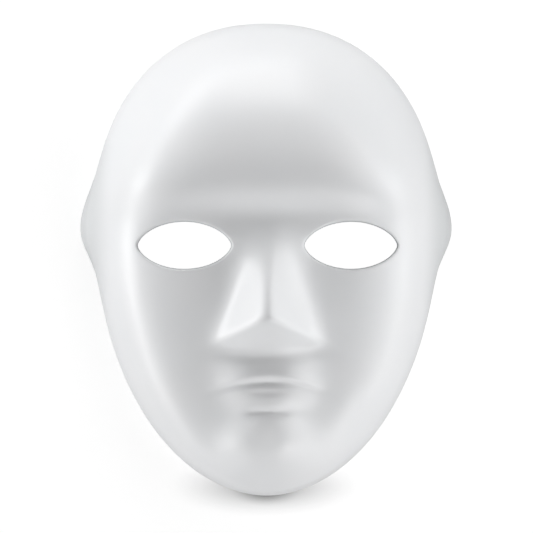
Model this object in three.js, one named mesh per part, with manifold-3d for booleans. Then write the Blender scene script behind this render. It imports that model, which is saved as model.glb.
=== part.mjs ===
// Blank full-face craft mask: one sheet of white PVC drawn over a mould, trimmed flat at the back,
// with two eye holes cut through it. It lies face up on its rim. Millimetres, +Z up, +Y towards
// the forehead, origin under the middle of the mask.
import * as THREE from 'three';
import { mergeVertices } from 'three/addons/utils/BufferGeometryUtils.js';
import Module from 'manifold-3d';

// Sheet and outline
const SHEET = 1.0;
const TOP_Y = 120;
const CHIN_Y = -120;
const WIDEST_Y = 19;
const HALF_WIDTH = 87.7;
const FOREHEAD_ROUNDNESS = 2.2;
const JAW_ROUNDNESS = 2;

// Depth: a straight skirt, a round shoulder and the dome of the face. A power sets how square a
// profile is and a fall how steeply it ends at the outline.
const SKIRT = 11;
const SHOULDER = { height: 3.5, share: 0.053 };
const DOME_HEIGHT = 58.1;
const CROWN_Y = 44.7;
const FOREHEAD_POWER = 1.87;
const CHEEK_POWER = 2.19;
const FOREHEAD_FALL = 0.66;
const CHEEK_FALL = 0.34;
const CROSS_FOREHEAD = 2.47;
const CROSS_CHEEK = 5.2;
const CROSS_JAW = 3.6;
const FOREHEAD_SIDE_FALL = 0.94;
const CHEEK_SIDE_FALL = 0.78;
const JAW_SIDE_FALL = 0.67;
const SQUARER_FROM_Y = 111.8;
const SQUARER_TO_Y = -25.8;
const JAW_FROM_Y = -58.2;
const JAW_TO_Y = -93;
const RELIEF_FADE = 0.88;

// Temples flare out beside the eyes, near the rim only
const TEMPLE = { y: 15.5, flare: 7.7, spreadUp: 16.3, spreadDown: 12.7, height: 50 };

// Brow: the face below it lies deeper than the forehead, in a step that softens to the sides
const BROW = { y: 28.6, softness: 9, depth: 14, width: 120, bend: 0.0006 };

// Nose: a ridge that widens downwards, cut off by a sloping underside. The ridge is narrowest at
// ridgeY and rounder above and below it.
const NOSE = {
  rootY: 18.5, baseY: -44.3, length: 41, height: 24.5, bow: 0.03, rootHalfWidth: 4.6,
  widening: 0.34, wideFromY: 9.7, narrowest: 7.4, narrowingSoftness: 3, leastRidge: 4.5,
  undersideSlope: 2, ridgeRadius: 4.4, ridgeSpread: 2.4, ridgeY: -20, tipFillet: 7.5,
  fillet: 5.3, sideFillet: 8.3, softening: 15, baseBend: 0.002,
};
const RIDGE_SCALE = 20;

// Mouth and chin: low pads on the face, with the lips and the folds drawn over them
const PAD_FALL = 0.9;
const MUZZLE = { y: -58, halfWidth: 21.7, halfHeight: 18.4, height: 8.7, edge: 3.4 };
const CHIN = { y: -91.2, halfWidth: 20, halfHeight: 17.2, height: 14.4, edge: 3 };
const UNDER_NOSE = { y: -50.5, bend: 0, halfWidth: 24, spread: 3.1, height: -0.4 };
const MOUTH = { y: -60.5, bend: 0.0072, halfWidth: 23 };
const UPPER_LIP = { above: 2.7, spread: 3.8, height: 2.2 };
const LIP_SLIT = { above: 0, spread: 1.8, height: -2.8 };
const LOWER_LIP = { above: -7.6, spread: 4.6, height: 1.1 };
const LIP_DENT = { y: -65.7, bend: 0, halfWidth: 9, spread: 1.6, height: -0.71 };
const LIP_CREASE = { y: -75.8, bend: 0.004, halfWidth: 10, spread: 2.2, height: -2.6 };
const CHIN_FOLD = { y: -80.2, bend: 0, halfWidth: 42, spread: 19.7, height: -1.2 };

// Eye holes: pointed ovals, punched straight down
const EYE = { x: 41.1, y: 6.8, halfLength: 23, halfHeight: 11.5, point: 1.24, segments: 28 };
const PUNCH = { from: 20, to: 100 };

// Facets
const COLUMNS = 36;
const COLUMN_BUNCHING = 0.065;
const TURN_PER_ROW = THREE.MathUtils.degToRad(6);
const FIRST_TURN = THREE.MathUtils.degToRad(2.5);
const TURN_GROWTH = 0.4;
const ROW_SPACING = { forehead: 9.5, face: 5.5, mouth: 3.2 };
const FOREHEAD_ROWS = { from: 15, to: 55 };
const MOUTH_ROWS = { y: -56, reach: 24 };
const PROBE = 1e-4;

const bell = (u) => Math.exp(-u * u);
const softMax = (a, b, k) => 0.5 * (a + b + Math.hypot(a - b, k));
const softMin = (a, b, k) => 0.5 * (a + b - Math.hypot(a - b, k));

function blend(from, to, t) {
  return THREE.MathUtils.smoothstep((t - from) / (to - from), 0, 1);
}

// Outline: two half ovals that meet at the widest line
function outlineAt(y) {
  return y > WIDEST_Y
    ? { reach: TOP_Y - WIDEST_Y, roundness: FOREHEAD_ROUNDNESS }
    : { reach: WIDEST_Y - CHIN_Y, roundness: JAW_ROUNDNESS };
}

function halfWidthAt(y) {
  const { reach, roundness } = outlineAt(y);
  const u = Math.min(Math.abs(y - WIDEST_Y) / reach, 1);
  return HALF_WIDTH * (1 - u ** roundness) ** (1 / roundness);
}

// Height of the dome on the middle line, as a share of the whole
function domeShareAt(y) {
  const above = y > CROWN_Y;
  const reach = above ? TOP_Y - CROWN_Y : CROWN_Y - CHIN_Y;
  const v = Math.min(Math.abs(y - CROWN_Y) / reach, 1);
  const power = above ? FOREHEAD_POWER : CHEEK_POWER;
  return Math.max(1 - v ** power, 0) ** (above ? FOREHEAD_FALL : CHEEK_FALL);
}

// The dome across: 1 on the middle line and 0 on the outline, round at the forehead and squarer at
// the cheeks
function crossShareAt(fraction, y) {
  const cheek = blend(SQUARER_FROM_Y, SQUARER_TO_Y, y);
  const jaw = blend(JAW_FROM_Y, JAW_TO_Y, y);
  const power = CROSS_FOREHEAD + (CROSS_CHEEK - CROSS_FOREHEAD) * cheek
    + (CROSS_JAW - CROSS_CHEEK) * jaw;
  const fall = FOREHEAD_SIDE_FALL + (CHEEK_SIDE_FALL - FOREHEAD_SIDE_FALL) * cheek
    + (JAW_SIDE_FALL - CHEEK_SIDE_FALL) * jaw;
  return Math.max(1 - Math.abs(fraction) ** power, 0) ** fall;
}

// The dome rolls over into the skirt close to the outline
function shoulder(x, y) {
  const { reach, roundness } = outlineAt(y);
  const across = Math.abs(x) / HALF_WIDTH;
  const along = Math.abs(y - WIDEST_Y) / reach;
  const fromMiddle = (across ** roundness + along ** roundness) ** (1 / roundness);
  const into = THREE.MathUtils.clamp(1 - (1 - fromMiddle) / SHOULDER.share, 0, 1);
  return SHOULDER.height * Math.sqrt(1 - into * into);
}

function brow(x, y) {
  const softness = BROW.softness * (1 + (x / BROW.width) ** 2);
  const line = BROW.y - BROW.bend * x * x;
  return -BROW.depth * 0.5 * (1 + Math.tanh((line - y) / softness));
}

function nose(x, y) {
  const t = (NOSE.rootY - y) / NOSE.length;
  const ridge = NOSE.height * ((1 + NOSE.bow) * t - (t > 0 ? NOSE.bow * t * t : 0));
  const halfWidth = softMax(NOSE.rootHalfWidth + NOSE.widening * (NOSE.wideFromY - y),
    NOSE.narrowest, NOSE.narrowingSoftness);
  const radius = NOSE.ridgeRadius + NOSE.ridgeSpread * ((y - NOSE.ridgeY) / RIDGE_SCALE) ** 2;
  const fromRidge = Math.hypot(x, radius) - radius;
  const side = ridge - (Math.max(ridge, NOSE.leastRidge) / halfWidth) * fromRidge;
  const underside = NOSE.undersideSlope * (y - NOSE.baseY - NOSE.baseBend * x * x);
  const softer = blend(NOSE.baseY, NOSE.baseY + NOSE.softening, y);
  const fillet = THREE.MathUtils.lerp(NOSE.fillet, NOSE.sideFillet, softer);
  return softMax(softMin(side, underside, NOSE.tipFillet), 0, fillet);
}

// A low raised patch with a soft edge
function pad(x, y, { y: centreY, halfWidth, halfHeight, height, edge }) {
  const r = Math.hypot(x / halfWidth, (y - centreY) / halfHeight);
  return height * Math.exp(-PAD_FALL * r ** edge);
}

// A ridge or a groove along a bent line, fading out at both ends
function fold(x, y, { y: lineY, bend, halfWidth, spread, height }) {
  const ends = Math.exp(-((x / halfWidth) ** 4));
  return height * bell((y - lineY + bend * x * x) / spread) * ends;
}

function mouth(x, y) {
  const onLine = (lip) => fold(x, y, { ...MOUTH, ...lip, y: MOUTH.y + lip.above });
  const lips = onLine(UPPER_LIP) + onLine(LIP_SLIT) + onLine(LOWER_LIP);
  const folds = fold(x, y, UNDER_NOSE) + fold(x, y, LIP_DENT) + fold(x, y, LIP_CREASE);
  return pad(x, y, MUZZLE) + lips + folds;
}

function chin(x, y) {
  return pad(x, y, CHIN) + fold(x, y, CHIN_FOLD);
}

function reachAt(along) {
  return along > 0 ? TOP_Y - WIDEST_Y : WIDEST_Y - CHIN_Y;
}

function yAt(along) {
  return WIDEST_Y + reachAt(along) * Math.sin(along);
}

// A point of the outer face. across and along are angles from -90 to 90 degrees, which close the
// dome smoothly on the outline.
function facePoint(across, along) {
  const y = yAt(along);
  const fraction = Math.sin(across);
  const x = fraction * halfWidthAt(y);
  const dome = domeShareAt(y);
  const rounding = crossShareAt(fraction, y);
  const relief = brow(x, y) + nose(x, y) + mouth(x, y) + chin(x, y);
  const z = SKIRT + shoulder(x, y)
    + dome * (DOME_HEIGHT * rounding + relief * rounding ** RELIEF_FADE);
  return new THREE.Vector3(x + Math.sign(x) * templeFlare(y, z), y, z);
}

function templeFlare(y, z) {
  const spread = y > TEMPLE.y ? TEMPLE.spreadUp : TEMPLE.spreadDown;
  const nearRim = Math.max(1 - z / TEMPLE.height, 0) ** 2;
  return TEMPLE.flare * Math.exp(-0.5 * ((y - TEMPLE.y) / spread) ** 2) * nearRim;
}

function faceNormal(across, along) {
  const acrossStep = facePoint(across + PROBE, along).sub(facePoint(across - PROBE, along));
  const alongStep = facePoint(across, along + PROBE).sub(facePoint(across, along - PROBE));
  return acrossStep.cross(alongStep).normalize();
}

// Row angles from chin to forehead, closest together at the mouth
function rowAngles() {
  const angles = [-Math.PI / 2];
  while (angles.at(-1) < Math.PI / 2) {
    const along = angles.at(-1);
    const y = yAt(along);
    const mouthShare = bell((y - MOUTH_ROWS.y) / MOUTH_ROWS.reach);
    const foreheadShare = blend(FOREHEAD_ROWS.from, FOREHEAD_ROWS.to, y);
    const base = THREE.MathUtils.lerp(ROW_SPACING.face, ROW_SPACING.forehead, foreheadShare);
    const spacing = THREE.MathUtils.lerp(base, ROW_SPACING.mouth, mouthShare);
    const fromEnd = Math.PI / 2 - Math.abs(along);
    const turn = Math.min(FIRST_TURN + TURN_GROWTH * fromEnd, TURN_PER_ROW);
    angles.push(along + Math.min(turn, spacing / (reachAt(along) * Math.cos(along) + PROBE)));
  }
  const stretch = Math.PI / (angles.at(-1) + Math.PI / 2);
  return angles.map((angle) => (angle + Math.PI / 2) * stretch - Math.PI / 2);
}

function columnAngles() {
  return Array.from({ length: COLUMNS + 1 }, (_, i) => {
    const s = (2 * i) / COLUMNS - 1;
    return (Math.PI / 2) * (s - COLUMN_BUNCHING * Math.sin(2 * Math.PI * s));
  });
}

// Outward direction of the outline at an edge point, level with the rim
function edgeNormal(across, along) {
  if (isPole(along)) return new THREE.Vector3(0, Math.sign(along), 0);
  const run = facePoint(across, along + PROBE).sub(facePoint(across, along - PROBE));
  return new THREE.Vector3(run.y, -run.x, 0).multiplyScalar(Math.sign(across)).normalize();
}

function isPole(along) {
  return Math.abs(along) > Math.PI / 2 - PROBE;
}

function isEdge(across, along) {
  return isPole(along) || Math.abs(across) > Math.PI / 2 - PROBE;
}

function innerPoint(across, along) {
  const normal = isEdge(across, along) ? edgeNormal(across, along) : faceNormal(across, along);
  return facePoint(across, along).addScaledVector(normal, -SHEET);
}

// A point of the cut edge, straight below the skirt's top. inset moves it into the mask.
function rimPoint(across, along, inset) {
  const top = facePoint(across, along);
  const spread = Math.sign(top.x) * (templeFlare(top.y, 0) - templeFlare(top.y, SKIRT));
  return new THREE.Vector3(top.x + (isPole(along) ? 0 : spread), top.y, 0)
    .addScaledVector(edgeNormal(across, along), -inset);
}

// The sheet as one closed skin: the outer face, the inner face one sheet thickness below it, the
// straight skirt, and the flat cut edge that the mask lies on
function sheetGeometry() {
  const rows = rowAngles();
  const columns = columnAngles();
  const positions = [];
  const triangles = [];

  const addPoint = (point) => positions.push(...point) / 3 - 1;
  const pointOf = (index) => new THREE.Vector3().fromArray(positions, 3 * index);
  const addQuad = (a, b, c, d, middle = null) => {
    // Split along the diagonal that lies closer to the true surface at the middle
    const offBy = (p, q) => pointOf(p).add(pointOf(q)).multiplyScalar(0.5).distanceTo(middle);
    const useOther = middle && offBy(b, d) < offBy(a, c);
    const halves = useOther ? [[a, b, d], [b, c, d]] : [[a, b, c], [a, c, d]];
    for (const corners of halves) {
      if (new Set(corners).size === 3) triangles.push(...corners);
    }
  };

  // Grid of point numbers, row by row; each end row is one single point
  const addSkin = (pointAt) => rows.map((along) => {
    const pole = isPole(along) ? addPoint(pointAt(0, along)) : null;
    return columns.map((across) => pole ?? addPoint(pointAt(across, along)));
  });
  const outer = addSkin(facePoint);
  const inner = addSkin(innerPoint);
  for (let r = 0; r + 1 < rows.length; r++) {
    for (let c = 0; c < COLUMNS; c++) {
      const across = (columns[c] + columns[c + 1]) / 2;
      const along = (rows[r] + rows[r + 1]) / 2;
      addQuad(outer[r][c], outer[r][c + 1], outer[r + 1][c + 1], outer[r + 1][c],
        facePoint(across, along));
      addQuad(inner[r + 1][c], inner[r + 1][c + 1], inner[r][c + 1], inner[r][c],
        innerPoint(across, along));
    }
  }

  // Once round the outline, anticlockwise from the chin
  const last = rows.length - 1;
  const upRight = rows.slice(0, last).map((_, r) => [r, COLUMNS]);
  const downLeft = rows.slice(1).map((_, i) => [last - i, 0]);
  const loop = [...upRight, ...downLeft].map(([r, c]) => {
    const [across, along] = [columns[c], rows[r]];
    return {
      outerTop: outer[r][c],
      innerTop: inner[r][c],
      outerRim: addPoint(rimPoint(across, along, 0)),
      innerRim: addPoint(rimPoint(across, along, SHEET)),
    };
  });
  loop.forEach((here, i) => {
    const next = loop[(i + 1) % loop.length];
    addQuad(here.outerRim, next.outerRim, next.outerTop, here.outerTop);
    addQuad(here.innerTop, next.innerTop, next.innerRim, here.innerRim);
    addQuad(here.outerRim, here.innerRim, next.innerRim, next.outerRim);
  });

  const geometry = new THREE.BufferGeometry();
  geometry.setAttribute('position', new THREE.Float32BufferAttribute(positions, 3));
  geometry.setIndex(triangles);
  return geometry;
}

// The punch for one eye hole: a pointed oval, straight through the sheet
function eyePunch(side) {
  const outline = [];
  for (let i = 0; i < EYE.segments; i++) {
    const turn = (2 * Math.PI * i) / EYE.segments;
    const lift = Math.abs(Math.sin(turn)) ** EYE.point * Math.sign(Math.sin(turn));
    outline.push(new THREE.Vector2(EYE.halfLength * Math.cos(turn), EYE.halfHeight * lift));
  }
  const punch = new THREE.ExtrudeGeometry(new THREE.Shape(outline), {
    depth: PUNCH.to - PUNCH.from,
    bevelEnabled: false,
  });
  return punch.translate(side * EYE.x, EYE.y, PUNCH.from);
}

const wasm = await Module();
wasm.setup();

function toSolid(geometry) {
  geometry.deleteAttribute('normal');
  geometry.deleteAttribute('uv');
  const merged = mergeVertices(geometry);
  return new wasm.Manifold(new wasm.Mesh({
    numProp: 3,
    vertProperties: new Float32Array(merged.attributes.position.array),
    triVerts: new Uint32Array(merged.index.array),
  }));
}

function toGeometry(solid) {
  const { vertProperties, triVerts } = solid.getMesh();
  const geometry = new THREE.BufferGeometry();
  geometry.setAttribute('position', new THREE.BufferAttribute(vertProperties, 3));
  geometry.setIndex(new THREE.BufferAttribute(triVerts, 1));
  geometry.computeVertexNormals();
  return geometry;
}

function makeMaskShell() {
  const sheet = toSolid(sheetGeometry());
  const shell = [-1, 1].reduce((solid, side) => solid.subtract(toSolid(eyePunch(side))), sheet);
  const whitePvc = new THREE.MeshStandardMaterial({ color: 0xf4f5f6, roughness: 0.4, metalness: 0 });
  const mesh = new THREE.Mesh(toGeometry(shell), whitePvc);
  mesh.name = 'mask_shell';
  return mesh;
}

const mask = new THREE.Group();
mask.add(makeMaskShell());

export default mask;
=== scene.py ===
import math
import bpy
from mathutils import Matrix, Vector
from mathutils.geometry import delaunay_2d_cdt


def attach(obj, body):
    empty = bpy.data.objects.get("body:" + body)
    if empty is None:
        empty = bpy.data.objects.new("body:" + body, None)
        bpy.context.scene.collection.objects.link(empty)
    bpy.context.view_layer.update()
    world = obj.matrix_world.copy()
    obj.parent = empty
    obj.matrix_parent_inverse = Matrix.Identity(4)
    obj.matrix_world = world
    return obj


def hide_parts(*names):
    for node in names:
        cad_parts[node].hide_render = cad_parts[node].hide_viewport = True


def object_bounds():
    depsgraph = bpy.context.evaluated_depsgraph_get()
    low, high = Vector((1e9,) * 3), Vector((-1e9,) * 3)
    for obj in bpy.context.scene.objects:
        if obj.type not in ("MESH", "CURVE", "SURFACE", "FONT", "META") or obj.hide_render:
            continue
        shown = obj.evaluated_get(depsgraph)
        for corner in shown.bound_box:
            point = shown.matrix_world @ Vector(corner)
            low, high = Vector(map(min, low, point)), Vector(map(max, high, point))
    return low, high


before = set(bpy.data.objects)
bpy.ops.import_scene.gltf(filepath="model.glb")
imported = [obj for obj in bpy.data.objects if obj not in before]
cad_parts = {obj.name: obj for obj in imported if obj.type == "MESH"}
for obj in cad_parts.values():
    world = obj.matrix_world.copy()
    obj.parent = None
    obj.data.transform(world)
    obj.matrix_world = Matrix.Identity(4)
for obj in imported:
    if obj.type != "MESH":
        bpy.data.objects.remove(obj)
cad_low, cad_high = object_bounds()

# Mask shell: one sheet of white PVC, warmed and drawn by vacuum over a mould of a plain face.
# It is trimmed flat along its rim, which it lies on, and its two eye holes are punched through.
# Sizes are in millimetres: X to the wearer's left, Y to the forehead, Z up out of the face.
MM = 0.001
SHEET = 1.0

# Outline from above: two rounded halves that meet on the widest line
TOP_Y = cad_high.y / MM
CHIN_Y = cad_low.y / MM
WIDEST_Y = 19
HALF_WIDTH = 87.7
FOREHEAD_ROUNDNESS = 2.2
JAW_ROUNDNESS = 2

# Straight skirt at the rim, rounded over into the dome of the face
SKIRT = 11
SHOULDER_HEIGHT = 3.5
SHOULDER_SHARE = 0.053
DOME_HEIGHT = 58.1
CROWN_Y = 44.7
FOREHEAD_POWER = 1.87
CHEEK_POWER = 2.19
FOREHEAD_FALL = 0.66
CHEEK_FALL = 0.34
FOREHEAD_SIDE_FALL = 0.94
CHEEK_SIDE_FALL = 0.78
JAW_SIDE_FALL = 0.67
CROSS_FOREHEAD = 2.47
CROSS_CHEEK = 5.2
CROSS_JAW = 3.6
SQUARER_FROM_Y = 111.8
SQUARER_TO_Y = -25.8
JAW_FROM_Y = -58.2
JAW_TO_Y = -93
RELIEF_FADE = 0.88

# Temples that stand out beside the eyes
TEMPLE_FLARE = 7.7
TEMPLE_Y = 15.5
TEMPLE_SPREAD_UP = 16.3
TEMPLE_SPREAD_DOWN = 12.7
TEMPLE_HEIGHT = 50

# Brow: the step from the forehead down to the eyes
BROW_Y = 28.6
BROW_SOFTNESS = 9
BROW_DEPTH = 14
BROW_WIDTH = 120
BROW_BEND = 0.0006

# Nose: a wedge that widens and rises downwards, with a sloping underside
NOSE_ROOT_Y = 18.5
NOSE_BASE_Y = -44.3
NOSE_LENGTH = 41
NOSE_HEIGHT = 24.5
NOSE_BOW = 0.03
NOSE_ROOT_HALF_WIDTH = 4.6
NOSE_WIDENING = 0.34
NOSE_WIDE_FROM_Y = 9.7
NOSE_NARROWEST = 7.4
NOSE_NARROWING_SOFTNESS = 3
NOSE_LEAST_RIDGE = 4.5
NOSE_UNDERSIDE_SLOPE = 2
NOSE_RIDGE_RADIUS = 4.4
NOSE_RIDGE_SPREAD = 2.4
NOSE_RIDGE_Y = -20
NOSE_RIDGE_SCALE = 20
NOSE_TIP_FILLET = 7.5
NOSE_FILLET = 5.3
NOSE_SIDE_FILLET = 8.3
NOSE_SOFTENING = 15
NOSE_BASE_BEND = 0.002
UNDER_NOSE = dict(y=-48.3, bend=0, half_width=24, spread=2.8, height=-1.3)

# Mouth and chin: two soft pads, and the folds on them
PAD_FALL = 0.9
MUZZLE = dict(y=-58, half_width=21.7, half_height=18.4, height=8.7, edge=3.4)
CHIN = dict(y=-91.2, half_width=20, half_height=17.2, height=14.4, edge=3)
MOUTH_Y = -60.5
MOUTH_BEND = 0.0072
MOUTH_HALF_WIDTH = 23
UPPER_LIP = dict(above=2.7, spread=3.8, height=2.2)
LIP_SLIT = dict(above=0, spread=1.8, height=-2.8)
LOWER_LIP = dict(above=-7.6, spread=4.6, height=1.1)
LIP_DENT = dict(y=-65.7, bend=0, half_width=9, spread=1.6, height=-0.71)
LIP_CREASE = dict(y=-75.8, bend=0.004, half_width=10, spread=2.2, height=-2.6)
CHIN_FOLD = dict(y=-80.2, bend=0, half_width=42, spread=19.7, height=-1.2)

# Eye holes, with an edge that rolls inwards
EYE_X = 41.1
EYE_Y = 6.8
EYE_HALF_LENGTH = 23
EYE_HALF_HEIGHT = 11.5
EYE_POINT = 1.24
EYE_LIP = 1.7

# Surface of the sheet
RIPPLE_HEIGHT = 0.04
RIPPLE_SIZE = 30
RIPPLE_SEED = 4.0
ROUGHNESS = 0.365
GLOSS_DRIFT = 0.03
CLOUD_SIZE = 40
GRAIN_SIZE = 0.5
GRAIN_DEPTH = 0.01
# Painted shade on the temples: where it starts and where it is full, out from the middle line
TEMPLE_SHADE_FROM_X = 77
TEMPLE_SHADE_FULL_FROM_X = 89

# Fineness of the mesh
POINT_SPACING = 1.3
EVEN_UP_TO = 0.5
ROW_SHIFT = 0.25
CLEAR_OF_OUTLINE = 0.7
CLEAR_OF_EYE = 0.6
OUTLINE_STEPS = 560
SKIRT_STEPS = 10
EYE_STEPS = 110
EYE_LIP_STEPS = 5
# Rings of each eye hole's roll that take the painted edge shade
SHADED_EDGE_RINGS = 2
WELD = 0.001


def bell(u):
    return math.exp(-u * u)


def soft_max(a, b, fillet):
    """The higher of two surfaces, with a fillet where they meet."""
    return 0.5 * (a + b + math.hypot(a - b, fillet))


def soft_min(a, b, fillet):
    """The lower of two surfaces, with a rounding where they meet."""
    return 0.5 * (a + b - math.hypot(a - b, fillet))


def blend(start, end, t):
    """0 at start, 1 at end, with no kink at either."""
    u = min(max((t - start) / (end - start), 0), 1)
    return u * u * (3 - 2 * u)


def reach_and_roundness(above):
    return (TOP_Y - WIDEST_Y, FOREHEAD_ROUNDNESS) if above else (WIDEST_Y - CHIN_Y, JAW_ROUNDNESS)


def half_width(y):
    """From the middle line to the outline, at a given height of the face."""
    reach, roundness = reach_and_roundness(y > WIDEST_Y)
    u = min(abs(y - WIDEST_Y) / reach, 1)
    return HALF_WIDTH * (1 - u ** roundness) ** (1 / roundness)


def outline_distance(direction):
    """From the middle of the widest line to the outline, in a given direction."""
    reach, roundness = reach_and_roundness(math.sin(direction) > 0)
    across = abs(math.cos(direction)) / HALF_WIDTH
    along = abs(math.sin(direction)) / reach
    return (across ** roundness + along ** roundness) ** (-1 / roundness)


def shoulder(x, y):
    """Rounds the dome over into the straight skirt, close to the outline."""
    reach, roundness = reach_and_roundness(y > WIDEST_Y)
    across, along = abs(x) / HALF_WIDTH, abs(y - WIDEST_Y) / reach
    share = (across ** roundness + along ** roundness) ** (1 / roundness)
    into = min(max(1 - (1 - share) / SHOULDER_SHARE, 0), 1)
    return SHOULDER_HEIGHT * math.sqrt(1 - into * into)


def dome_share(y):
    """Height of the dome on the middle line, as a share of the whole."""
    above = y > CROWN_Y
    reach = TOP_Y - CROWN_Y if above else CROWN_Y - CHIN_Y
    v = min(abs(y - CROWN_Y) / reach, 1)
    if above:
        return max(1 - v ** FOREHEAD_POWER, 0) ** FOREHEAD_FALL
    return max(1 - v ** CHEEK_POWER, 0) ** CHEEK_FALL


def cross_share(fraction, y):
    """The dome across: 1 on the middle line, 0 on the outline, squarer at the cheeks."""
    cheek = blend(SQUARER_FROM_Y, SQUARER_TO_Y, y)
    jaw = blend(JAW_FROM_Y, JAW_TO_Y, y)
    power = (CROSS_FOREHEAD + (CROSS_CHEEK - CROSS_FOREHEAD) * cheek
             + (CROSS_JAW - CROSS_CHEEK) * jaw)
    fall = (FOREHEAD_SIDE_FALL + (CHEEK_SIDE_FALL - FOREHEAD_SIDE_FALL) * cheek
            + (JAW_SIDE_FALL - CHEEK_SIDE_FALL) * jaw)
    return max(1 - fraction ** power, 0) ** fall


def brow(x, y):
    """The face below the brow lies deeper than the forehead."""
    softness = BROW_SOFTNESS * (1 + (x / BROW_WIDTH) ** 2)
    return -BROW_DEPTH * 0.5 * (1 + math.tanh((BROW_Y - BROW_BEND * x * x - y) / softness))


def nose(x, y):
    """Two sloping sides that meet in a rounded ridge, cut off from below."""
    t = (NOSE_ROOT_Y - y) / NOSE_LENGTH
    ridge = NOSE_HEIGHT * ((1 + NOSE_BOW) * t - (NOSE_BOW * t * t if t > 0 else 0))
    widening = NOSE_ROOT_HALF_WIDTH + NOSE_WIDENING * (NOSE_WIDE_FROM_Y - y)
    width = soft_max(widening, NOSE_NARROWEST, NOSE_NARROWING_SOFTNESS)
    from_narrow = (y - NOSE_RIDGE_Y) / NOSE_RIDGE_SCALE
    radius = NOSE_RIDGE_RADIUS + NOSE_RIDGE_SPREAD * from_narrow * from_narrow
    from_ridge = math.hypot(x, radius) - radius
    side = ridge - max(ridge, NOSE_LEAST_RIDGE) / width * from_ridge
    underside = NOSE_UNDERSIDE_SLOPE * (y - NOSE_BASE_Y - NOSE_BASE_BEND * x * x)
    softer = blend(NOSE_BASE_Y, NOSE_BASE_Y + NOSE_SOFTENING, y)
    fillet = NOSE_FILLET + (NOSE_SIDE_FILLET - NOSE_FILLET) * softer
    return soft_max(soft_min(side, underside, NOSE_TIP_FILLET), 0, fillet)


def pad(x, y, shape):
    """A broad rise with soft edges."""
    r = math.hypot(x / shape["half_width"], (y - shape["y"]) / shape["half_height"])
    return shape["height"] * math.exp(-PAD_FALL * r ** shape["edge"])


def fold(x, y, shape):
    """A ridge or a groove along a bent line, fading out at both ends."""
    across = (y - shape["y"] + shape["bend"] * x * x) / shape["spread"]
    return shape["height"] * bell(across) * math.exp(-(x / shape["half_width"]) ** 4)


def mouth(x, y):
    line = dict(bend=MOUTH_BEND, half_width=MOUTH_HALF_WIDTH)
    relief = pad(x, y, MUZZLE)
    for shape in (UNDER_NOSE, LIP_DENT, LIP_CREASE):
        relief += fold(x, y, shape)
    for lip in (UPPER_LIP, LIP_SLIT, LOWER_LIP):
        relief += fold(x, y, dict(line, **lip, y=MOUTH_Y + lip["above"]))
    return relief


def chin(x, y):
    return pad(x, y, CHIN) + fold(x, y, CHIN_FOLD)


def face_height(x, y):
    """Outer face of the sheet over the table."""
    fraction = min(abs(x) / max(half_width(y), 1e-6), 1)
    rounding = cross_share(fraction, y)
    relief = brow(x, y) + nose(x, y) + mouth(x, y) + chin(x, y)
    dome = DOME_HEIGHT * rounding + relief * rounding ** RELIEF_FADE
    return SKIRT + shoulder(x, y) + dome_share(y) * dome


def flare(y, z):
    """How far the temples stand out sideways, most at the rim."""
    spread = TEMPLE_SPREAD_UP if y > TEMPLE_Y else TEMPLE_SPREAD_DOWN
    along = math.exp(-0.5 * ((y - TEMPLE_Y) / spread) ** 2)
    return TEMPLE_FLARE * along * max(1 - z / TEMPLE_HEIGHT, 0) ** 2


def on_sheet(x, y, z):
    """The place in metres, with the temples flared, but no wider than the whole mask."""
    out = min(abs(x) + flare(y, z), cad_high.x / MM)
    return Vector((math.copysign(out, x), y, z)) * MM


def eye_outline(side, outset):
    """The punched hole: a pointed oval, grown by outset."""
    loop = []
    for i in range(EYE_STEPS):
        turn = math.tau * i / EYE_STEPS
        c, s = math.cos(turn), math.sin(turn)
        x = EYE_HALF_LENGTH * c
        y = EYE_HALF_HEIGHT * abs(s) ** EYE_POINT * math.copysign(1, s)
        run_x = -EYE_HALF_LENGTH * s
        run_y = EYE_HALF_HEIGHT * EYE_POINT * abs(s) ** (EYE_POINT - 1) * c
        length = math.hypot(run_x, run_y)
        at_corner = length < 1e-6
        out_x = math.copysign(1, c) if at_corner else run_y / length
        out_y = 0 if at_corner else -run_x / length
        loop.append((side * EYE_X + x + outset * out_x, EYE_Y + y + outset * out_y))
    return loop


# Points are evenly spaced up to EVEN_UP_TO of the way out, then closer and closer
SPREAD_RATE = 2 / (1 + EVEN_UP_TO)
CURL = SPREAD_RATE / (2 * (1 - EVEN_UP_TO))


def spread(t):
    """Share of the way out on the face, from the share on the map."""
    return SPREAD_RATE * t if t < EVEN_UP_TO else 1 - CURL * (1 - t) ** 2


def unspread(s):
    """Share of the way out on the map, from the share on the face."""
    return s / SPREAD_RATE if s < SPREAD_RATE * EVEN_UP_TO else 1 - math.sqrt((1 - s) / CURL)


def to_map(x, y):
    """Plan point to its place on the evenly spaced map that the triangles are drawn on."""
    direction = math.atan2(y - WIDEST_Y, x)
    distance = math.hypot(x, y - WIDEST_Y)
    reach = outline_distance(direction)
    t = unspread(min(distance / reach, 1))
    return t * reach * math.cos(direction), t * reach * math.sin(direction)


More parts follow.
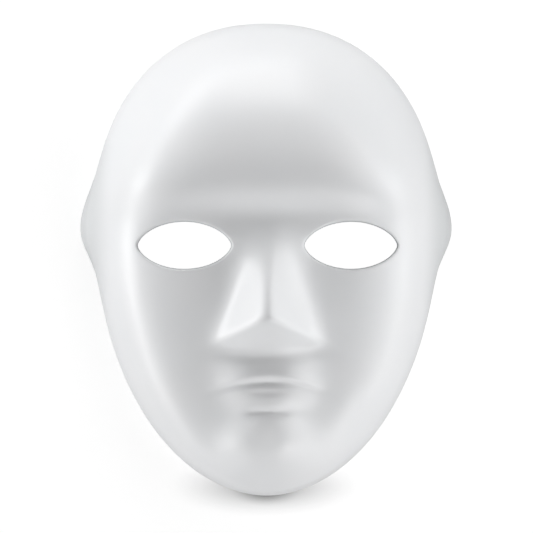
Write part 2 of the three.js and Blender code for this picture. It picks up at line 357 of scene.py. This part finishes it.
def make_sheet_mesh():
    """The outer face of the sheet, from the eye holes' edges to the rim."""
    map_points = []
    places = []
    edges = []
    holes = []
    shaded_edge_points = []

    def add(plan, drop=0.0, z=None, mapped=None):
        x, y = plan
        height = face_height(x, y) - drop if z is None else z
        map_points.append(Vector(mapped or to_map(x, y)))
        places.append(on_sheet(x, y, height))
        return len(places) - 1

    # Outline, where the dome turns down into the skirt
    outline = []
    for i in range(OUTLINE_STEPS):
        direction = math.tau * i / OUTLINE_STEPS
        distance = outline_distance(direction)
        plan = (distance * math.cos(direction), WIDEST_Y + distance * math.sin(direction))
        outline.append(add(plan, z=SKIRT, mapped=(plan[0], plan[1] - WIDEST_Y)))
    edges += [(a, outline[(i + 1) % OUTLINE_STEPS]) for i, a in enumerate(outline)]

    # Eye holes: the sheet rolls over a quarter round into each hole
    for side in (-1, 1):
        for k in range(EYE_LIP_STEPS + 1):
            turn = math.pi / 2 * k / EYE_LIP_STEPS
            outset = EYE_LIP * (1 - math.cos(turn))
            drop = EYE_LIP * (1 - math.sin(turn))
            loop = [add(p, drop=drop) for p in eye_outline(side, outset)]
            edges += [(a, loop[(i + 1) % EYE_STEPS]) for i, a in enumerate(loop)]
            if k == 0:
                holes.append(set(loop))
            # The innermost rings of the roll take the painted shade along the eye holes' edges
            if k <= SHADED_EDGE_RINGS:
                shaded_edge_points += loop

    # The rest of the face, in staggered rows
    row_step = POINT_SPACING / SPREAD_RATE * math.sqrt(3) / 2
    column_step = POINT_SPACING / SPREAD_RATE
    rows = int(2 * (TOP_Y - CHIN_Y) / row_step)
    for row in range(-rows // 2, rows // 2 + 1):
        v = row * row_step
        shift = ROW_SHIFT * column_step * (1 if row % 2 else -1)
        columns = int(HALF_WIDTH / column_step) + 2
        for column in range(-columns, columns + 1):
            u = column * column_step + shift
            direction = math.atan2(v, u)
            reach = outline_distance(direction)
            t = math.hypot(u, v) / reach
            if t * reach > reach - CLEAR_OF_OUTLINE * column_step:
                continue
            scale = spread(t) / max(t, 1e-9)
            x, y = u * scale, WIDEST_Y + v * scale
            if near_eye(x, y):
                continue
            add((x, y), mapped=(u, v))

    _, _, triangles, origins, _, _ = delaunay_2d_cdt(map_points, edges, [], 0, 1e-5)
    faces = []
    for triangle in triangles:
        corners = [origins[v][0] for v in triangle]
        if not any(hole.issuperset(corners) for hole in holes):
            faces.append(corners)

    # Skirt: straight down from the outline to the rim
    above = outline
    for step in range(1, SKIRT_STEPS + 1):
        z = SKIRT * (1 - step / SKIRT_STEPS)
        below = []
        for i in range(OUTLINE_STEPS):
            direction = math.tau * i / OUTLINE_STEPS
            distance = outline_distance(direction)
            x, y = distance * math.cos(direction), WIDEST_Y + distance * math.sin(direction)
            places.append(on_sheet(x, y, z))
            below.append(len(places) - 1)
        for i in range(OUTLINE_STEPS):
            j = (i + 1) % OUTLINE_STEPS
            faces.append((above[i], below[i], below[j], above[j]))
        above = below

    mesh = bpy.data.meshes.new("mask_shell_sheet")
    mesh.from_pydata(places, [], faces)
    mesh.update()
    eye_edge_shade = mesh.attributes.new("eye_edge_shade", "FLOAT", "POINT")
    for i in shaded_edge_points:
        eye_edge_shade.data[i].value = 1
    mesh.shade_smooth()
    return mesh


def near_eye(x, y):
    """Inside an eye hole or too close to the rings of points around it."""
    gap = EYE_LIP + CLEAR_OF_EYE * POINT_SPACING
    across = abs(abs(x) - EYE_X) / (EYE_HALF_LENGTH + gap)
    if across >= 1:
        return False
    lift = (1 - across ** 2) ** (EYE_POINT / 2)
    return abs(y - EYE_Y) < gap + EYE_HALF_HEIGHT * lift


def add_node(tree, kind, inputs=None, **settings):
    """Add a node, set it up, and link or fill its inputs by name or number."""
    node = tree.nodes.new(kind)
    for name, value in settings.items():
        setattr(node, name, value)
    for key, value in (inputs or {}).items():
        if isinstance(value, bpy.types.NodeSocket):
            tree.links.new(value, node.inputs[key])
        else:
            node.inputs[key].default_value = value
    return node


def srgb(hex_code):
    """A hex colour as a linear one."""
    parts = [int(hex_code[i:i + 2], 16) / 255 for i in (0, 2, 4)]
    linear = [c / 12.92 if c <= 0.04045 else ((c + 0.055) / 1.055) ** 2.4 for c in parts]
    return (*linear, 1)


def make_white_pvc():
    """Rigid PVC sheet, drawn warm over a satin mould: white, with a soft sheen and faint grain."""
    material = bpy.data.materials.new("satin_white_pvc_sheet")
    material.use_nodes = True
    tree = material.node_tree
    shader = tree.nodes["Principled BSDF"]
    shader.inputs["IOR"].default_value = 1.53
    place = add_node(tree, "ShaderNodeTexCoord").outputs["Object"]

    # The gloss drifts where the sheet was drawn thinner and rubbed in handling, over 20 to 60 mm
    cloud = add_node(tree, "ShaderNodeTexNoise", {
        "Vector": place, "Scale": 1 / (CLOUD_SIZE * MM), "Detail": 3.0, "Roughness": 0.55})
    gloss = add_node(tree, "ShaderNodeMapRange", {
        "Value": cloud.outputs["Fac"], "From Min": 0.3, "From Max": 0.7,
        "To Min": ROUGHNESS - GLOSS_DRIFT, "To Max": ROUGHNESS + GLOSS_DRIFT})
    tree.links.new(gloss.outputs[0], shader.inputs["Roughness"])

    # White pigment, a shade cooler or warmer here and there
    tint = add_node(tree, "ShaderNodeMix", {
        0: cloud.outputs["Fac"], 6: srgb("E6E8EA"), 7: srgb("E9E9EA")}, data_type="RGBA")

    # Painted shade on the flared temples: the white turns greyer from the temples outwards
    place_x = add_node(tree, "ShaderNodeSeparateXYZ", {0: place}).outputs["X"]
    aside = add_node(tree, "ShaderNodeMath", {0: place_x}, operation="ABSOLUTE")
    temple_shade = add_node(tree, "ShaderNodeMapRange", {
        "Value": aside.outputs[0],
        "From Min": TEMPLE_SHADE_FROM_X * MM, "From Max": TEMPLE_SHADE_FULL_FROM_X * MM},
        interpolation_type="SMOOTHSTEP")
    white = add_node(tree, "ShaderNodeMix", {
        0: temple_shade.outputs[0], 6: tint.outputs[2], 7: srgb("D6D8D9")}, data_type="RGBA")

    # Painted shade: a thin grey line on the inner rings of each eye hole's rolled edge
    eye_edge_shade = add_node(tree, "ShaderNodeAttribute", attribute_name="eye_edge_shade").outputs["Fac"]
    colour = add_node(tree, "ShaderNodeMix", {
        0: eye_edge_shade, 6: white.outputs[2], 7: srgb("CACCCE")}, data_type="RGBA")
    tree.links.new(colour.outputs[2], shader.inputs["Base Color"])

    # Satin grain of the mould, which breaks up the sheen
    grain = add_node(tree, "ShaderNodeTexNoise", {
        "Vector": place, "Scale": 1 / (GRAIN_SIZE * MM), "Detail": 2.0, "Roughness": 0.6})
    relief = add_node(tree, "ShaderNodeBump", {
        "Strength": 0.35, "Distance": GRAIN_DEPTH * MM, "Height": grain.outputs["Fac"]})
    tree.links.new(relief.outputs["Normal"], shader.inputs["Normal"])
    return material


def make_draw_tree(material):
    """Gives the drawn face its slight ripple and its thickness, and closes it along every edge."""
    tree = bpy.data.node_groups.new("drawn_sheet", "GeometryNodeTree")
    face = tree.interface
    face.new_socket("Geometry", in_out="INPUT", socket_type="NodeSocketGeometry")
    for name in ("Sheet Thickness", "Skirt Height", "Ripple Height", "Ripple Size", "Seed"):
        face.new_socket(name, in_out="INPUT", socket_type="NodeSocketFloat")
    face.new_socket("Geometry", in_out="OUTPUT", socket_type="NodeSocketGeometry")
    given = add_node(tree, "NodeGroupInput").outputs
    normal = add_node(tree, "GeometryNodeInputNormal").outputs["Normal"]
    position = add_node(tree, "GeometryNodeInputPosition").outputs["Position"]

    # Ripple: the sheet lies true along its clamped skirt, and less so on the mould
    placed = add_node(tree, "ShaderNodeSeparateXYZ", {0: position}).outputs
    skirts_up = add_node(tree, "ShaderNodeMath", {
        0: placed[2], 1: given["Skirt Height"]}, operation="DIVIDE")
    free = add_node(tree, "ShaderNodeMath", {
        0: skirts_up.outputs[0], 1: 1.0}, operation="SUBTRACT", use_clamp=True)
    pitch = add_node(tree, "ShaderNodeMath", {0: 1.0, 1: given["Ripple Size"]}, operation="DIVIDE")
    noise = add_node(tree, "ShaderNodeTexNoise", {
        "Vector": position, "W": given["Seed"], "Scale": pitch.outputs[0], "Detail": 1.0,
        "Roughness": 0.4}, noise_dimensions="4D")
    centred = add_node(tree, "ShaderNodeMath", {0: noise.outputs[0], 1: 0.5}, operation="SUBTRACT")
    wave = add_node(tree, "ShaderNodeMath", {
        0: centred.outputs[0], 1: given["Ripple Height"]}, operation="MULTIPLY")
    lift = add_node(tree, "ShaderNodeMath", {
        0: wave.outputs[0], 1: free.outputs[0]}, operation="MULTIPLY")
    ripple = add_node(tree, "ShaderNodeVectorMath", {
        0: normal, "Scale": lift.outputs[0]}, operation="SCALE")
    rippled = add_node(tree, "GeometryNodeSetPosition", {
        "Geometry": given["Geometry"], "Offset": ripple.outputs[0]})

    # Thickness: a second skin is raised from the first and pushed inwards along its normals
    outer = add_node(tree, "GeometryNodeStoreNamedAttribute", {
        "Geometry": rippled.outputs[0], "Name": "outward", "Value": normal},
        data_type="FLOAT_VECTOR", domain="POINT")
    outward = add_node(tree, "GeometryNodeInputNamedAttribute", {
        "Name": "outward"}, data_type="FLOAT_VECTOR")
    inward = add_node(tree, "ShaderNodeMath", {
        0: given["Sheet Thickness"], 1: -1.0}, operation="MULTIPLY")
    depth = add_node(tree, "ShaderNodeVectorMath", {
        0: outward.outputs[0], "Scale": inward.outputs[0]}, operation="SCALE")
    raised = add_node(tree, "GeometryNodeExtrudeMesh", {
        "Mesh": outer.outputs[0], "Offset Scale": 0.0, "Individual": False}, mode="FACES")
    pushed = add_node(tree, "GeometryNodeSetPosition", {
        "Geometry": raised.outputs["Mesh"], "Selection": raised.outputs["Top"],
        "Offset": depth.outputs[0]})
    inner = add_node(tree, "GeometryNodeFlipFaces", {"Mesh": pushed.outputs[0]})
    both = add_node(tree, "GeometryNodeJoinGeometry")
    tree.links.new(inner.outputs[0], both.inputs[0])
    tree.links.new(outer.outputs[0], both.inputs[0])
    welded = add_node(tree, "GeometryNodeMergeByDistance", {
        "Geometry": both.outputs[0], "Distance": WELD * MM})

    # Trim: nothing goes below the flat cut rim
    above = add_node(tree, "ShaderNodeMath", {0: placed[2], 1: 0.0}, operation="MAXIMUM")
    level = add_node(tree, "ShaderNodeCombineXYZ", {
        0: placed[0], 1: placed[1], 2: above.outputs[0]})
    trimmed = add_node(tree, "GeometryNodeSetPosition", {
        "Geometry": welded.outputs[0], "Position": level.outputs[0]})
    cleared = add_node(tree, "GeometryNodeRemoveAttribute", {
        "Geometry": trimmed.outputs[0], "Name": "outward"})
    real = add_node(tree, "GeometryNodeRealizeInstances", {"Geometry": cleared.outputs[0]})
    painted = add_node(tree, "GeometryNodeSetMaterial", {
        "Geometry": real.outputs[0], "Material": material})
    add_node(tree, "NodeGroupOutput", {0: painted.outputs[0]})
    return tree


def finish_with_nodes(name, mesh, tree, values):
    """Run the mesh through the node tree, and keep the outcome as a plain mesh object."""
    carrier = bpy.data.objects.new(name + "_carrier", mesh)
    bpy.context.scene.collection.objects.link(carrier)
    modifier = carrier.modifiers.new("drawn_sheet", "NODES")
    modifier.node_group = tree
    for item in tree.interface.items_tree:
        if item.in_out == "INPUT" and item.name in values:
            modifier[item.identifier] = values[item.name]
    graph = bpy.context.evaluated_depsgraph_get()
    plain = bpy.data.meshes.new_from_object(carrier.evaluated_get(graph))
    plain.name = name
    bpy.data.objects.remove(carrier)
    piece = bpy.data.objects.new(name, plain)
    bpy.context.scene.collection.objects.link(piece)
    return piece


white_pvc = make_white_pvc()
sheet_mesh = make_sheet_mesh()
sheet_mesh.materials.append(white_pvc)
shell = finish_with_nodes("mask_shell_drawn", sheet_mesh, make_draw_tree(white_pvc), {
    "Sheet Thickness": SHEET * MM, "Skirt Height": SKIRT * MM,
    "Ripple Height": RIPPLE_HEIGHT * MM, "Ripple Size": RIPPLE_SIZE * MM, "Seed": RIPPLE_SEED})
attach(shell, "root")
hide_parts("mask_shell")

# Studio: a plain white table that the mask lies on, soft panels all round it and a camera
# straight above. Nothing of it belongs to the mask. The photograph is taken as 533 pixels
# square, and the camera leans by about a degree. From here on lengths are in metres.
PICTURE = 533
MM_PER_PIXEL = 0.5096
MIDDLE_PIXEL = 266.5
ORIGIN_PIXEL_Y = 259.2
SENSOR = 36
CAMERA_HEIGHT = 1.3
CAMERA_YAW = math.radians(0.8)

# The chin's soft shadow on the table, and its dark line close to the chin
SHADOW_Y = -0.1165
SHADOW_HALF_WIDTH = 0.0514
SHADOW_HALF_HEIGHT = 0.0164
SHADOW_DEPTH = 0.8
SHADOW_FADE = 1.5
CONTACT_REACH = 0.007
CONTACT_HALF_WIDTH = 0.020
CONTACT_DEPTH = 1.5

# The table's painted glow: full under the mask's middle and again far away from it, dimmer close
# around the mask
TABLE_REACH = 3
TABLE_GLOW = 0.75
FULL_GLOW_WITHIN = 0.078
DIMMER_FROM = 0.084
GLOW_RISING_FROM = 0.25
FULL_GLOW_BEYOND = 0.6
TABLE_SHARE_OF_LIGHT = 0.35
LIGHT_UNDER_MASK = 0.35
LIT_WITHIN = 0.06
UNLIT_FROM = 0.08

# Lamps: three rings of panels, all aimed at one place inside the mask
LAMP_DISTANCE = 0.9
AIM_HEIGHT = 0.03
LOW = dict(elevation=7, width=0.46, height=0.20)
MID = dict(elevation=24, width=0.42, height=0.30)
HIGH = dict(elevation=50, width=0.50, height=0.36)
ROOM_LIGHT = 0.03
ROOM_WHITE = 0.99

camera_data = bpy.data.cameras.new("camera")
camera = bpy.data.objects.new("camera", camera_data)
bpy.context.scene.collection.objects.link(camera)
bpy.context.scene.camera = camera
camera_data.sensor_width = SENSOR
camera_data.lens = SENSOR * CAMERA_HEIGHT / (PICTURE * MM_PER_PIXEL * MM)
camera_data.shift_y = -(MIDDLE_PIXEL - ORIGIN_PIXEL_Y) / PICTURE
looks_from = Vector((-math.sin(CAMERA_YAW), 0, math.cos(CAMERA_YAW)))
camera.location = looks_from * CAMERA_HEIGHT + Vector((0, 0, SKIRT * MM))
camera.rotation_euler = (0, -CAMERA_YAW, 0)


def make_table():
    """A white table, lit from inside where the camera sees it through the eye holes."""
    mesh = bpy.data.meshes.new("table_top")
    quarters = ((-1, -1), (1, -1), (1, 1), (-1, 1))
    corners = [(TABLE_REACH * x, TABLE_REACH * y, 0) for x, y in quarters]
    mesh.from_pydata(corners, [], [(0, 1, 2, 3)])
    table = bpy.data.objects.new("table_top", mesh)
    bpy.context.scene.collection.objects.link(table)
    material = bpy.data.materials.new("white_table")
    material.use_nodes = True
    tree = material.node_tree
    tree.nodes.remove(tree.nodes["Principled BSDF"])

    # The chin's soft shadow: an oval that fades out from its middle
    place = add_node(tree, "ShaderNodeTexCoord").outputs["Object"]
    from_chin = add_node(tree, "ShaderNodeVectorMath", {
        0: place, 1: (0, SHADOW_Y, 0)}, operation="SUBTRACT")
    oval = add_node(tree, "ShaderNodeVectorMath", {
        0: from_chin.outputs[0], 1: (1 / SHADOW_HALF_WIDTH, 1 / SHADOW_HALF_HEIGHT, 0)},
        operation="MULTIPLY")
    outwards = add_node(tree, "ShaderNodeVectorMath", {0: oval.outputs[0]}, operation="LENGTH")
    inwards = add_node(tree, "ShaderNodeMath", {
        0: 1.0, 1: outwards.outputs["Value"]}, operation="SUBTRACT", use_clamp=True)
    faded = add_node(tree, "ShaderNodeMath", {
        0: inwards.outputs[0], 1: SHADOW_FADE}, operation="POWER")
    soft = add_node(tree, "ShaderNodeMath", {
        0: faded.outputs[0], 1: -SHADOW_DEPTH, 2: 1.0}, operation="MULTIPLY_ADD")

    # Its dark line, where the chin stands close over the table
    apart = add_node(tree, "ShaderNodeSeparateXYZ", {0: from_chin.outputs[0]})
    aside = add_node(tree, "ShaderNodeMath", {0: apart.outputs["X"]}, operation="ABSOLUTE")
    at_chin = add_node(tree, "ShaderNodeMapRange", {
        "Value": aside.outputs[0], "From Min": 0.0, "From Max": CONTACT_HALF_WIDTH,
        "To Min": CONTACT_DEPTH, "To Max": 0.0}, interpolation_type="SMOOTHSTEP").outputs[0]
    below = add_node(tree, "ShaderNodeMath", {0: apart.outputs["Y"], 1: 0.0}, operation="LESS_THAN")
    open_sky = add_node(tree, "ShaderNodeAmbientOcclusion", {"Distance": CONTACT_REACH}, samples=16)
    hidden = add_node(tree, "ShaderNodeMath", {
        0: 1.0, 1: open_sky.outputs["AO"]}, operation="SUBTRACT")
    hidden_at_chin = add_node(tree, "ShaderNodeMath", {
        0: hidden.outputs[0], 1: at_chin}, operation="MULTIPLY")
    line = add_node(tree, "ShaderNodeMath", {
        0: hidden_at_chin.outputs[0], 1: below.outputs[0]}, operation="MULTIPLY")
    light_left = add_node(tree, "ShaderNodeMath", {
        0: 1.0, 1: line.outputs[0]}, operation="SUBTRACT")
    shade = add_node(tree, "ShaderNodeMath", {
        0: soft.outputs[0], 1: light_left.outputs[0]}, operation="MULTIPLY")

    # What the camera sees: a matt white that glows, most under the mask and far away from it
    from_middle = add_node(tree, "ShaderNodeVectorMath", {0: place}, operation="LENGTH")
    near = add_node(tree, "ShaderNodeMapRange", {
        "Value": from_middle.outputs["Value"], "From Min": FULL_GLOW_WITHIN, "From Max": DIMMER_FROM,
        "To Min": 1.0, "To Max": TABLE_GLOW})
    far = add_node(tree, "ShaderNodeMapRange", {
        "Value": from_middle.outputs["Value"], "From Min": GLOW_RISING_FROM, "From Max": FULL_GLOW_BEYOND})
    even_glow = add_node(tree, "ShaderNodeMath", {
        0: near.outputs[0], 1: far.outputs[0]}, operation="MAXIMUM")
    glow = add_node(tree, "ShaderNodeMath", {
        0: even_glow.outputs[0], 1: shade.outputs[0]}, operation="MULTIPLY")
    glowing = add_node(tree, "ShaderNodeEmission", {"Strength": glow.outputs[0]})
    share = add_node(tree, "ShaderNodeMath", {
        0: shade.outputs[0], 1: TABLE_SHARE_OF_LIGHT}, operation="MULTIPLY")
    matt = add_node(tree, "ShaderNodeBsdfDiffuse", {"Color": share.outputs[0]})
    white_table = add_node(tree, "ShaderNodeAddShader", {0: matt.outputs[0], 1: glowing.outputs[0]})

    # What the mask gets back from it: a duller white, with a little light behind the eye holes
    dull = add_node(tree, "ShaderNodeBsdfDiffuse", {"Color": srgb("A8A8A8")})
    under = add_node(tree, "ShaderNodeMapRange", {
        "Value": from_middle.outputs["Value"], "From Min": LIT_WITHIN, "From Max": UNLIT_FROM,
        "To Min": LIGHT_UNDER_MASK, "To Max": 0.0})
    panel = add_node(tree, "ShaderNodeEmission", {"Strength": under.outputs[0]})
    dull_table = add_node(tree, "ShaderNodeAddShader", {0: dull.outputs[0], 1: panel.outputs[0]})
    seen = add_node(tree, "ShaderNodeLightPath").outputs["Is Camera Ray"]
    mix = add_node(tree, "ShaderNodeMixShader", {
        0: seen, 1: dull_table.outputs[0], 2: white_table.outputs[0]})
    tree.links.new(mix.outputs[0], tree.nodes["Material Output"].inputs["Surface"])
    mesh.materials.append(material)
    return table


def softbox(name, azimuth, watts, elevation, width, height):
    """A soft panel that faces the mask. Azimuth is from +X, elevation from the table."""
    lamp = bpy.data.lights.new(name, "AREA")
    lamp.shape = "RECTANGLE"
    lamp.size = width
    lamp.size_y = height
    lamp.energy = watts
    panel = bpy.data.objects.new(name, lamp)
    bpy.context.scene.collection.objects.link(panel)
    az, el = math.radians(azimuth), math.radians(elevation)
    away = Vector((math.cos(az) * math.cos(el), math.sin(az) * math.cos(el), math.sin(el)))
    level = Vector((-math.sin(az), math.cos(az), 0))
    panel.rotation_euler = Matrix((level, away.cross(level), away)).transposed().to_euler()
    panel.location = away * LAMP_DISTANCE + Vector((0, 0, AIM_HEIGHT))
    panel.visible_camera = False


make_table()
softbox("low_right", 0, 1.25, **LOW)
softbox("low_top", 90, 1.3, **LOW)
softbox("low_top_left", 120, 1.85, **LOW)
softbox("low_upper_left", 150, 1.1, **LOW)
softbox("low_left", 180, 3.2, **LOW)
softbox("low_lower_left", 210, 2.05, **LOW)
softbox("low_bottom_left", 240, 0.65, **LOW)
softbox("low_bottom_right", 300, 0.35, **LOW)
softbox("low_lower_right", 330, 0.9, **LOW)
softbox("mid_right", 0, 1.0, **MID)
softbox("mid_upper_right", 30, 0.9, **MID)
softbox("mid_top_right", 60, 0.45, **MID)
softbox("mid_top", 90, 2.3, **MID)
softbox("mid_lower_left", 210, 0.55, **MID)
softbox("mid_bottom", 270, 0.4, **MID)
softbox("mid_bottom_right", 300, 2.2, **MID)
softbox("mid_lower_right", 330, 0.25, **MID)
softbox("high_right", 0, 0.8, **HIGH)
softbox("high_upper_right", 45, 0.5, **HIGH)
softbox("high_top", 90, 0.2, **HIGH)
softbox("high_bottom", 270, 0.35, **HIGH)

world = bpy.data.worlds.new("studio")
bpy.context.scene.world = world
world.use_nodes = True
tree = world.node_tree
seen = add_node(tree, "ShaderNodeLightPath").outputs["Is Camera Ray"]
strength = add_node(tree, "ShaderNodeMapRange", {
    "Value": seen, "To Min": ROOM_LIGHT, "To Max": ROOM_WHITE})
tree.nodes["Background"].inputs["Color"].default_value = (1, 1, 1, 1)
tree.links.new(strength.outputs[0], tree.nodes["Background"].inputs["Strength"])
bpy.context.scene.view_settings.view_transform = "Standard"
